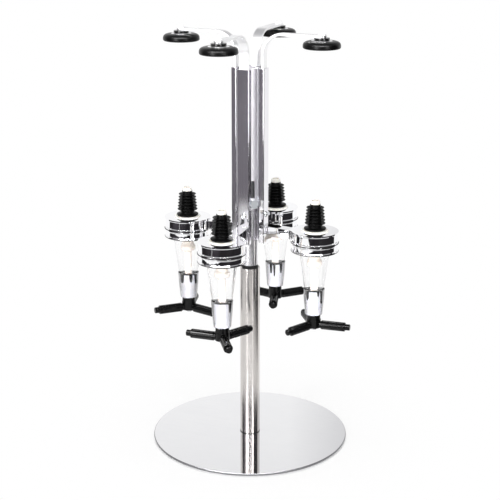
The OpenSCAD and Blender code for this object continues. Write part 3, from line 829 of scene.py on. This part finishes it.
@dataclass
class Measure(Fitting):
    """One station's bracket, rings, cap, stopper and clear measure, all sizes in millimetres.

    A dark ring of painted shade is given by its radius, height and wire; an outline by the radius and height
    of each corner.
    """

    edge: float = 0.3
    tube_r: float = 6.1
    stopper_foot: float = 287.5
    stopper_top: float = 319.5
    flange_r: float = 13.5
    flange_h: float = 3.0
    flange_edge: float = 1.0
    flange_fall: float = 0.8
    ribs: int = 6
    rib_pitch: float = 3.9
    rib_low_r: float = 12.6
    rib_high_r: float = 10.8
    rib_depth: float = 4.4
    rib_rise: float = 2.4
    rib_under: float = 0.2
    rib_over: float = 0.9
    top_pitches: float = 1.1
    lip: float = 0.2
    corner: float = 0.15
    # Dark rings of painted shade: the shade in the gap between bracket ring and clamp ring, and the shadow
    # line under the clamp ring.
    shade_rings: tuple[Triple, ...] = ((29.0, 271.75, 0.55), (28.8, 261.2, 0.5))
    shade_ring_steps: int = 144
    # The nozzle's dark seal: its band is painted shade along the nozzle's top, and its tongues are painted
    # reflections.
    shade_seal_r: Point = (10.25, 10.7)
    shade_seal_z: Point = (211.9, 209.9)
    shade_seal_steps: int = 240
    shade_seal_slack: float = 0.01
    tongue_power: int = 4
    chamber: Outline = (
        (8.0, 207.5), (8.9, 207.5), (8.9, 212.55), (11.9, 212.55), (12.4, 213.1), (18.8, 260.3),
        (18.3, 260.8), (16.2, 260.8), (16.2, 272.0), (20.4, 272.0), (20.4, 276.0), (15.2, 276.0),
        (15.2, 261.6), (17.6, 259.6), (11.3, 214.2), (8.0, 213.0),
    )
    nozzle: Outline = (
        (9.6, 178.9), (10.7, 178.9), (12.45, 197.3), (13.2, 211.8), (12.6, 212.4), (11.0, 212.4),
        (10.8, 205.6), (10.6, 197.3), (10.1, 190.0), (9.6, 182.0),
    )
    liner: Outline = (
        (8.6, 179.1), (9.5, 179.1), (9.5, 182.0), (9.8, 190.0), (10.0, 197.0), (10.1, 205.5),
        (10.1, 210.6), (9.0, 210.6), (9.0, 207.4), (3.9, 207.4), (3.9, 205.0), (8.6, 205.0),
    )

    def build(self) -> None:
        """Dresses the station's nodes and makes its clear shells, the dark seal whose tongues are painted
        reflections, the stopper, and the dark rings of painted shade.
        """
        own = self.station.own
        dress([own("bracket"), own("clamp_ring")], CHROME, self.edge)
        dress([own("inlet_cap")], CREAM, self.edge)
        self._clear("chamber_shell", self.chamber, "chamber", CHAMBER_CLEAR)
        self._nozzle()
        self._stopper()
        # Dark rings of painted shade at the gap between the rings and under the clamp ring.
        for name, size in zip(("ring_gap_shade", "clamp_foot_shade"), self.shade_rings):
            made = self.turned(name, ring(*size), self.shade_ring_steps)
            join(made, "carousel", WASHER_BLACK)

    def _clear(self, name: str, outline: Sequence[Point], node: str, finish: Finish) -> None:
        """Makes a clear shell, through which the lamps light what it holds.

        Args:
            name: Kind of piece.
            outline: Radius and height of each corner, in millimetres.
            node: Kind of CAD node that it replaces.
            finish: Its finish.
        """
        made = self.turned(name, outline)
        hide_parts(self.station.own(node))
        made.visible_shadow = False
        join(made, "carousel", finish)

    def _nozzle(self) -> None:
        """Makes the clear nozzle, the pale liner that holds the valve's seat, and the dark seal between them,
        whose tongues are painted reflections.
        """
        self._clear("nozzle_shell", self.nozzle, "nozzle", NOZZLE_CLEAR)
        join(self.turned("nozzle_liner", self.liner), "carousel", LINER_PALE)
        self._shade_seal()

    def _hang(self, turn: float) -> float:
        """Length of the tongue that hangs from the seal at one place; each tongue is a dark strip of painted
        reflection.

        Args:
            turn: Angle from the X axis, in degrees.

        Returns:
            Length in millimetres, 0 between the tongues.
        """
        hang = 0.0
        for middle, half, length in REFLECTION_TONGUES[self.station]:
            off = abs((turn - middle + 180.0) % 360.0 - 180.0)
            if off < half:
                hang = max(hang, length * (1 - (off / half) ** self.tongue_power))
        return hang

    def _shade_seal(self) -> None:
        """Makes the dark seal between nozzle and liner: a band of painted shade, with tongues of painted
        reflection that hang down from it.
        """
        inner, outer = self.shade_seal_r
        high, low = self.shade_seal_z
        centre = self.station.at(self.axis_r)
        points: list[Vector] = []
        for step in range(self.shade_seal_steps):
            turn = 360.0 * step / self.shade_seal_steps
            hang = self._hang(turn)
            foot, slack = low - hang, self.shade_seal_slack * hang
            section = ((inner - slack, foot), (outer - slack, foot), (outer, high), (inner, high))
            points += around(centre, math.radians(turn), section)
        faces = band(self.shade_seal_steps, len(points) // self.shade_seal_steps)
        made = piece(self.station.own("nozzle_shade_seal"), points, faces)
        join(made, "carousel", VALVE_RUBBER)

    def _stopper(self) -> None:
        """Makes the ribbed stopper with thin rounded lips."""
        foot, top = self.stopper_foot, self.stopper_top
        top_rib = top - self.top_pitches * self.rib_pitch
        fall = (self.rib_low_r - self.rib_high_r) / (self.ribs - 1)
        outline: list[Point] = [
            (self.tube_r, foot),
            (self.flange_r - self.flange_edge, foot),
            (self.flange_r, foot + self.flange_edge),
            (self.flange_r, foot + self.flange_h - self.flange_fall),
            (self.rib_low_r - self.rib_depth, foot + self.flange_h),
        ]
        for rib in range(self.ribs):
            radius = self.rib_low_r - fall * rib
            height = top_rib - (self.ribs - 1 - rib) * self.rib_pitch
            outline += [
                (radius - self.rib_depth, height - self.rib_rise - self.rib_under),
                (radius, height - self.lip),
                (radius, height + self.lip),
                (radius - self.rib_depth, height - self.rib_rise + self.rib_over),
            ]
        outline += [(self.rib_high_r - self.rib_depth, top), (self.tube_r, top)]
        made = self.turned("stopper_ribbed", rounded(outline, self.corner, 2))
        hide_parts(self.station.own("stopper"))
        join(made, "carousel", STOPPER_RUBBER)


@dataclass
class Press(Fitting):
    """One station's lever, plunger, valve washer, spout tip and return spring, all sizes in millimetres."""

    edge: float = 0.25
    travel: float = 7.0
    washer_ring_r: float = 5.8
    washer_z: float = 210.3
    washer_r: float = 1.0
    round_steps: int = 72
    tip: Outline = (
        (2.3, 158.25), (3.7, 158.25), (3.9, 158.5), (3.9, 159.1), (3.6, 159.3), (3.9, 159.5),
        (3.9, 160.1), (3.6, 160.3), (3.9, 160.5), (3.9, 161.3), (2.3, 161.3),
    )
    spring_foot: float = 244.6
    spring_top: float = 275.9
    coil_r: float = 5.2
    wire_r: float = 0.45
    turns: float = 8.0
    end_wires: float = 2.2
    turn_steps: int = 40
    wire_sides: int = 12
    wire_edge: float = 60.0

    def build(self) -> None:
        """Dresses the press and makes its washer, tip and spring."""
        dress([self.station.own("lever")], LEVER_BLACK, self.edge)
        dress([self.station.own("plunger")], PLUNGER_CREAM)
        self._washer()
        self._tip()
        self._spring()

    def _washer(self) -> None:
        """Makes the round rubber washer that closes the valve."""
        outline = ring(self.washer_ring_r, self.washer_z, self.washer_r)
        made = self.turned("valve_washer", outline, self.round_steps)
        join(made, self.station.own("press"), VALVE_RUBBER)

    def _tip(self) -> None:
        """Makes the grooved steel tip of the spout."""
        made = self.turned("spout_tip", self.tip, self.round_steps)
        join(made, self.station.own("press"), SCREW_STEEL)

    def _height(self, share: float) -> float:
        """Height of the wire's middle, with the two end turns laid close.

        Args:
            share: Place along the wire, from 0 to 1.

        Returns:
            Height in millimetres.
        """
        low, high = self.spring_foot + self.wire_r, self.spring_top - self.wire_r
        close = self.end_wires * self.wire_r
        turn = share * self.turns
        if turn <= 1:
            return low + close * turn
        if turn >= self.turns - 1:
            return high - close * (self.turns - turn)
        return low + close + (high - low - 2 * close) * (turn - 1) / (self.turns - 2)

    def _spring(self) -> None:
        """Makes the wound spring, which moves with the press."""
        centre = self.station.at(self.axis_r)
        sides, rows = self.wire_sides, int(self.turns * self.turn_steps)
        points: list[Vector] = []
        faces: list[Face] = []
        for row in range(rows + 1):
            share = row / rows
            out = level(FULL_TURN * self.turns * share)
            middle = centre + (out * self.coil_r + Vector((0, 0, self._height(share)))) * MM
            for side in range(sides):
                angle = FULL_TURN * side / sides
                rim = out * math.cos(angle) + Vector((0, 0, math.sin(angle)))
                points.append(middle + rim * self.wire_r * MM)
        for here in range(0, rows * sides, sides):
            for side in range(sides):
                beside, there = (side + 1) % sides, here + sides
                faces.append((here + side, here + beside, there + beside, there + side))
        faces += [tuple(reversed(range(sides))), tuple(range(rows * sides, (rows + 1) * sides))]
        made = piece(self.station.own("spring_wound"), points, faces, self.wire_edge)
        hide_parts(self.station.own("return_spring"))
        join(made, self.station.own("press"), SPRING_STEEL)
        self.station.own("lever_push")
        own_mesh(made)


@dataclass
class Holder(Fitting):
    """One station's sliding arm, bottle pad, spacer, washer and screw, all sizes in millimetres.

    The rim's lower rounding is rim_share of the pad's height. Each corner of the hollow under the pad is
    given by how many such roundings it lies in from the rim, and by its height over the foot.
    """

    axis_r: float = 91.0
    edge: float = 0.3
    pad_r: float = 22.5
    pad_foot: float = 507.5
    pad_top: float = 516.5
    arm_under: float = 520.0
    spacer_r: float = 9.2
    bore_r: float = 2.6
    washer_r: float = 12.5
    washer_t: float = 0.4
    washer_brim: float = 3.0
    washer_dish: float = 0.3
    washer_corner: float = 0.15
    spacer_corner: float = 0.4
    blunt: float = 0.68
    crown: float = 2.0
    rim_share: float = 0.22
    rim_steps: int = 15
    dome_steps: int = 22
    hollow_h: float = 1.2
    hollow: Outline = ((2.2, 1.0), (1.6, 0.1))
    pad_steps: int = 128

    def build(self) -> None:
        """Dresses the arm and screw, and makes the pad with its spacer and washer."""
        dress([self.station.own("arm")], ARM_STEEL, self.edge)
        dress([self.station.own("pad_screw")], NUT_SATIN)
        self._pad()
        self._fittings()

    def _pad(self) -> None:
        """Makes the domed rubber pad."""
        crown_r = self.spacer_r + self.crown
        rise = (self.pad_top - self.pad_foot) * self.rim_share
        shoulder = self.pad_foot + rise
        dome = [
            (crown_r + (self.pad_r - crown_r) * math.cos(turn) ** self.blunt,
             shoulder + (self.pad_top - shoulder) * math.sin(turn) ** self.blunt)
            for turn in (math.pi / 2 * step / self.dome_steps for step in range(self.dome_steps))
        ]
        rim = [
            (self.pad_r - rise + rise * math.cos(turn), shoulder + rise * math.sin(turn))
            for turn in (math.radians(-90 + 90 * step / self.rim_steps) for step in range(self.rim_steps))
        ]
        outline = [
            (self.bore_r, self.pad_foot + self.hollow_h),
            *((self.pad_r - inset * rise, self.pad_foot + height) for inset, height in self.hollow),
            *rim,
            *dome,
            (crown_r, self.pad_top),
            (self.bore_r, self.pad_top),
        ]
        made = self.turned("pad_dome", outline, self.pad_steps)
        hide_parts(self.station.own("bottle_pad"))
        join(made, self.station.own("holder"), PAD_RUBBER)

    def _fittings(self) -> None:
        """Makes the dished washer on the pad and the spacer under the arm."""
        body = self.station.own("holder")
        low, high = self.pad_top, self.pad_top + self.washer_t
        brim_r = self.washer_r - self.washer_brim
        washer = [
            (self.bore_r, low),
            (brim_r, low),
            (self.washer_r, low - self.washer_dish),
            (self.washer_r, high - self.washer_dish),
            (brim_r, high),
            (self.bore_r, high),
        ]
        made = self.turned("pad_washer", rounded(washer, self.washer_corner))
        join(made, body, ARM_STEEL)
        spacer = [
            (self.bore_r, high),
            (self.spacer_r, high),
            (self.spacer_r, self.arm_under),
            (self.bore_r, self.arm_under),
        ]
        made = self.turned("pad_spacer", rounded(spacer, self.spacer_corner))
        join(made, body, SPACER_BLACK)


@dataclass(frozen=True)
class TableTop(Surface):
    """White table that keeps the object's shadow near it, and shows white in metal and glass.

    Past rim_r it shines by the share lift, and from shadow_r on by the rest; both are in metres.
    """

    paper: Colour = (0.93, 0.93, 0.93)
    fleck: Colour = (0.95, 0.95, 0.95)
    flecks: float = 30.0
    lift: float = 0.82
    rim_r: Point = (0.1245, 0.1265)
    shadow_r: Point = (0.14, 0.27)

    def shader(self, graph: Graph) -> bpy.types.NodeSocket:
        """Builds the table.

        Args:
            graph: The material's graph.

        Returns:
            The surface's shader.
        """
        paper = graph.colours(graph.noise((self.flecks,) * 3, detail=2.0), self.paper, self.fleck)
        matt = graph.node("ShaderNodeBsdfDiffuse", None, {"Color": paper})
        white = graph.glow(WHITE)
        mirrored = graph.ray("Is Glossy Ray").most(graph.ray("Is Transmission Ray"))
        radius = graph.radius()
        lift = radius.rise(*self.rim_r) * self.lift + radius.rise(*self.shadow_r) * (1 - self.lift)
        share = mirrored.most(graph.ray("Is Camera Ray") * lift)
        mix = graph.node("ShaderNodeMixShader", None, {0: share, 1: matt.outputs[0], 2: white})
        return mix.outputs[0]


@dataclass(frozen=True)
class Cloth(Surface):
    """Cloth beyond the table, which the metal mirrors; it has the far colour far off to one side.

    Between the two cosines side_at and the two distances far_at, in metres, one colour fades to the other.
    """

    way: Sequence[float]
    near: Colour = (0.012, 0.011, 0.012)
    far: Colour = (0.155, 0.143, 0.163)
    side_at: Point = (0.74, 0.92)
    far_at: Point = (0.98, 1.38)
    folds: Triple = (4.0, 4.0, 0.4)
    fold: float = 0.12

    def shader(self, graph: Graph) -> bpy.types.NodeSocket:
        """Builds the cloth.

        Args:
            graph: The material's graph.

        Returns:
            The surface's shader.
        """
        radius = graph.radius()
        side = (graph.along(self.way) / radius).rise(*self.side_at)
        fold = graph.noise(self.folds)
        pale = radius.rise(*self.far_at) * side + fold * self.fold
        return graph.glow(graph.colours(pale.within(), self.near, self.far))


@dataclass(frozen=True)
class PaleCard(Surface):
    """Pale card behind the object, which shades the polished plate; it dims upwards and to one side.

    It dims by up_dim over the heights up_at, and by side_dim past side_at to the side and past side_from in
    height, all in metres.
    """

    way: Sequence[float]
    dim: Colour = (0.62, 0.62, 0.63)
    up_at: Point = (0.9, 1.6)
    up_dim: float = 0.45
    side_at: Point = (0.14, 0.42)
    side_from: Point = (0.85, 1.05)
    side_dim: float = 0.75

    def shader(self, graph: Graph) -> bpy.types.NodeSocket:
        """Builds the card.

        Args:
            graph: The material's graph.

        Returns:
            The surface's shader.
        """
        height = graph.along(UP)
        aside = graph.along(self.way).rise(*self.side_at) * height.rise(*self.side_from) * self.side_dim
        dim = (height.rise(*self.up_at) * self.up_dim + aside).within()
        return graph.glow(graph.colours(dim, WHITE, self.dim))


@dataclass(frozen=True)
class SoftBox(Surface):
    """Bright box above the camera, which gives gloss its highlights and no other light."""

    strength: float = 40.0
    edge: Colour = (0.4, 0.4, 0.4)
    edge_at: Point = (1.76, 1.85)

    def shader(self, graph: Graph) -> bpy.types.NodeSocket:
        """Builds the box, softer towards its upper edge.

        Args:
            graph: The material's graph.

        Returns:
            The surface's shader.
        """
        shade = graph.colours(graph.along(UP).rise(*self.edge_at), WHITE, self.edge)
        return graph.glow(shade, self.strength)


@dataclass(frozen=True)
class Lamp:
    """A soft rectangular lamp.

    Its side and spread are in degrees, the side counted from the camera's, its power is in watts, and the
    rest in metres.
    """

    name: str
    side: float
    distance: float
    height: float
    target: Triple
    size: Point
    power: float
    mirrored: bool = True
    spread: float = 180.0


LAMPS = (
    Lamp("strip_left", -33.0, 1.9, 0.55, (0.0, 0.0, 0.55), (0.45, 2.0), 30.0),
    Lamp("strip_right", 31.0, 1.9, 0.55, (0.0, 0.0, 0.55), (0.45, 2.0), 15.0),
    Lamp("overhead", 180.0, 0.25, 1.9, (0.0, 0.0, 0.2), (1.6, 1.2), 12.0, mirrored=False),
    Lamp("front", -8.0, 1.5, 1.75, (0.0, 0.0, 0.2), (1.5, 0.2), 6.0),
    Lamp("spot", 4.0, 0.7, 0.34, (0.0, 0.086, 0.205), (0.06, 0.06), 0.03, mirrored=False, spread=12.0),
)


@dataclass
class Studio:
    """White table, cloth, lamps, world and camera, all sizes in metres but the camera's lens and sensor."""

    azimuth: float = 22.91
    distance: float = 1.5086
    height: float = 0.7100
    aim: float = 0.2509
    lens: float = 90.59
    sensor: float = 36.0
    clip_end: float = 40.0
    table_r: float = 0.63
    table_off: float = 0.355
    table_side: float = -46.0
    table_steps: int = 96
    cloth_sides: Point = (-106.0, 106.0)
    room_r: float = 2.6
    room_z: Point = (-0.02, 2.4)
    ceiling: Colour = (0.42, 0.42, 0.43)
    wall_steps: int = 48
    flat_edge: float = 30.0
    ambient: float = 0.45

    def build(self) -> None:
        """Makes the camera, the table, the cloth and cards, the lamps and the world."""
        self._camera()
        self._table()
        self._walls()
        for lamp in LAMPS:
            self._lamp(lamp)
        self._world()
        bpy.context.scene.view_settings.view_transform = "Standard"

    def _towards(self, side: float, distance: float, height: float) -> Vector:
        """A point round the object.

        Args:
            side: Degrees round the column from the camera's place, towards the right of the picture.
            distance: Metres from the column's axis.
            height: Metres above the table.

        Returns:
            The point.
        """
        turn = math.radians(self.azimuth + side)
        return Vector((math.sin(turn) * distance, -math.cos(turn) * distance, height))

    def _camera(self) -> None:
        """Sets the camera where the photograph was taken from."""
        data = bpy.data.cameras.new("camera")
        data.lens = self.lens
        data.sensor_width = self.sensor
        data.clip_end = self.clip_end
        made = bpy.data.objects.new("camera", data)
        self._point(made, self._towards(0.0, self.distance, self.height), Vector((0, 0, self.aim)))
        bpy.context.scene.camera = made

    def _point(self, made: bpy.types.Object, place: Vector, target: Vector) -> None:
        """Puts the camera or a lamp in its place and turns it to its target.

        Args:
            made: The camera or lamp.
            place: Where it stands.
            target: Point that it faces.
        """
        bpy.context.scene.collection.objects.link(made)
        made.location = place
        made.rotation_euler = (target - place).to_track_quat("-Z", "Y").to_euler()

    def _stage(self, made: bpy.types.Object, surface: Surface) -> None:
        """Gives a piece of the studio its surface and reports it.

        Args:
            made: The piece.
            surface: Its surface.
        """
        made.data.materials.append(surface.material())
        log.info("%s: %s", made.name, surface.name)

    def _table(self) -> None:
        """Makes the round white table."""
        steps = self.table_steps
        centre = self._towards(self.table_side, self.table_off, 0.0)
        points = [centre]
        points += [centre + level(FULL_TURN * step / steps) * self.table_r for step in range(steps)]
        faces = [(0, 1 + step, 1 + (step + 1) % steps) for step in range(steps)]
        self._stage(piece("table", points, faces, self.flat_edge), TableTop("table_white"))

    def _walls(self) -> None:
        """Makes what the metal mirrors: cloth, ceiling, softbox, card, strip of paper and window."""
        left, right = self._towards(self.table_side, 1.0, 0.0), self._towards(90.0, 1.0, 0.0)
        out, (foot, top) = self.room_r, self.room_z
        ceiling = Cloth("cloth_dark_ceiling", left, self.ceiling, self.ceiling)
        for name, sides, rows, surface in (
            ("cloth_floor", self.cloth_sides, ((0.3, -0.004), (out, -0.004)), Cloth("cloth_dark", left)),
            ("cloth", self.cloth_sides, ((out, foot), (out, top)), Cloth("cloth_dark_wall", left)),
            ("cloth_ceiling", (-180.0, 180.0), ((0.02, top), (out, top)), ceiling),
            ("softbox", (-60.0, 40.0), ((1.7, 1.7), (1.4, 1.85)), SoftBox("softbox_white")),
            ("card", (126.0, 244.0), ((out, foot), (out, top)), PaleCard("card_pale", right)),
            ("paper", (-46.3, -45.1), ((0.9, -0.002), (1.225, -0.002)), PaleCard("paper_pale", right)),
            ("window", (-60.0, -40.0), ((2.3, 0.4), (2.3, 1.5)), PaleCard("window_pale", right)),
        ):
            self._wall(name, sides, rows, surface)

    def _wall(self, name: str, sides: Point, rows: tuple[Point, Point], surface: Surface) -> None:
        """Makes a strip that curves round the table and that only the metal sees.

        Args:
            name: Name of the strip.
            sides: Degrees from the camera's side at which it starts and ends.
            rows: Distance from the column's axis and height of its two long edges.
            surface: Its surface.
        """
        points: list[Vector] = []
        for step in range(self.wall_steps + 1):
            side = sides[0] + (sides[1] - sides[0]) * step / self.wall_steps
            points += [self._towards(side, *row) for row in rows]
        faces = [(2 * step, 2 * step + 2, 2 * step + 3, 2 * step + 1) for step in range(self.wall_steps)]
        made = piece(name, points, faces, self.flat_edge)
        made.visible_camera = False
        made.visible_diffuse = False
        made.visible_transmission = False
        made.visible_shadow = False
        self._stage(made, surface)

    def _lamp(self, lamp: Lamp) -> None:
        """Makes one lamp.

        Args:
            lamp: Its place, target, size and power.
        """
        data = bpy.data.lights.new(lamp.name, "AREA")
        data.shape = "RECTANGLE"
        data.size, data.size_y = lamp.size
        data.energy = lamp.power
        data.spread = math.radians(lamp.spread)
        made = bpy.data.objects.new(lamp.name, data)
        made.visible_camera = False
        made.visible_glossy = lamp.mirrored
        self._point(made, self._towards(lamp.side, lamp.distance, lamp.height), Vector(lamp.target))

    def _world(self) -> None:
        """Makes the white surroundings, softer for the light that they give than for what is seen of them."""
        world = bpy.data.worlds.new("surroundings")
        bpy.context.scene.world = world
        world.use_nodes = True
        graph = Graph(world.node_tree)
        mirrored = graph.ray("Is Camera Ray").most(graph.ray("Is Glossy Ray"))
        seen = mirrored.most(graph.ray("Is Transmission Ray"))
        white = graph.node("ShaderNodeBackground", None, {"Color": WHITE, "Strength": 1.0})
        soft = graph.node("ShaderNodeBackground", None, {"Color": WHITE, "Strength": self.ambient})
        mix = graph.node("ShaderNodeMixShader", None, {0: seen, 1: soft.outputs[0], 2: white.outputs[0]})
        graph.node("ShaderNodeOutputWorld", None, {"Surface": mix.outputs[0]})


def main() -> None:
    """Builds the sub-assemblies in order and reports each piece."""
    logging.basicConfig(level=logging.INFO, format="%(name)s: %(message)s")
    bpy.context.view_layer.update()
    Studio().build()
    Stand().build()
    Column().build()
    for station in Station:
        Measure(station).build()
        Press(station).build()
        Holder(station).build()


if __name__ == "__main__":
    main()
